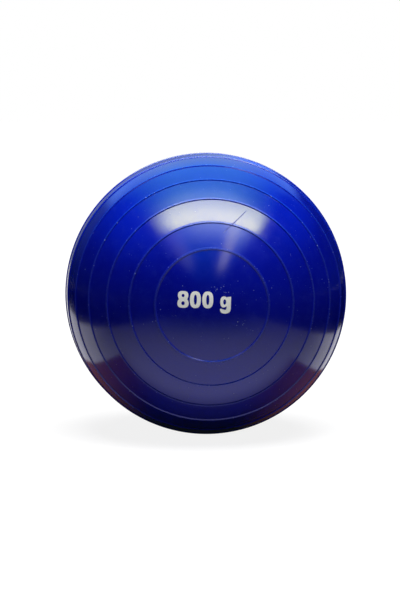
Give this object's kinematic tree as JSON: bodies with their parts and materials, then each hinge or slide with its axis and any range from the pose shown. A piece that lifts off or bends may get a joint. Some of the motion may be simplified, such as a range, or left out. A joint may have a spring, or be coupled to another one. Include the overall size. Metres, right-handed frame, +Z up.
{
  "type": "throwing ball",
  "caption": "Sand-filled PVC throwing ball for throws training, with raised ring ribs for grip, a plain marking panel at the pole and a plugged filler neck.",
  "frame": {"origin": "centre of the ball", "axes": "+Y along the axis of the ribs, from the marked pole to the filler plug; +Z up as the mark reads; -Y is the front"},
  "size_m": [0.1006, 0.1, 0.1006],
  "materials": {
    "shell_pvc": "glossy moulded royal-blue PVC, lightly scuffed",
    "plug_pvc": "satin moulded royal-blue PVC",
    "sand": "dry graded sand, matte",
    "mark_ink": "printed off-white ink"
  },
  "bodies": {
    "root": {"shell": "shell_pvc", "filler_plug": "plug_pvc", "sand_fill": "sand"}
  },
  "joints": []
}
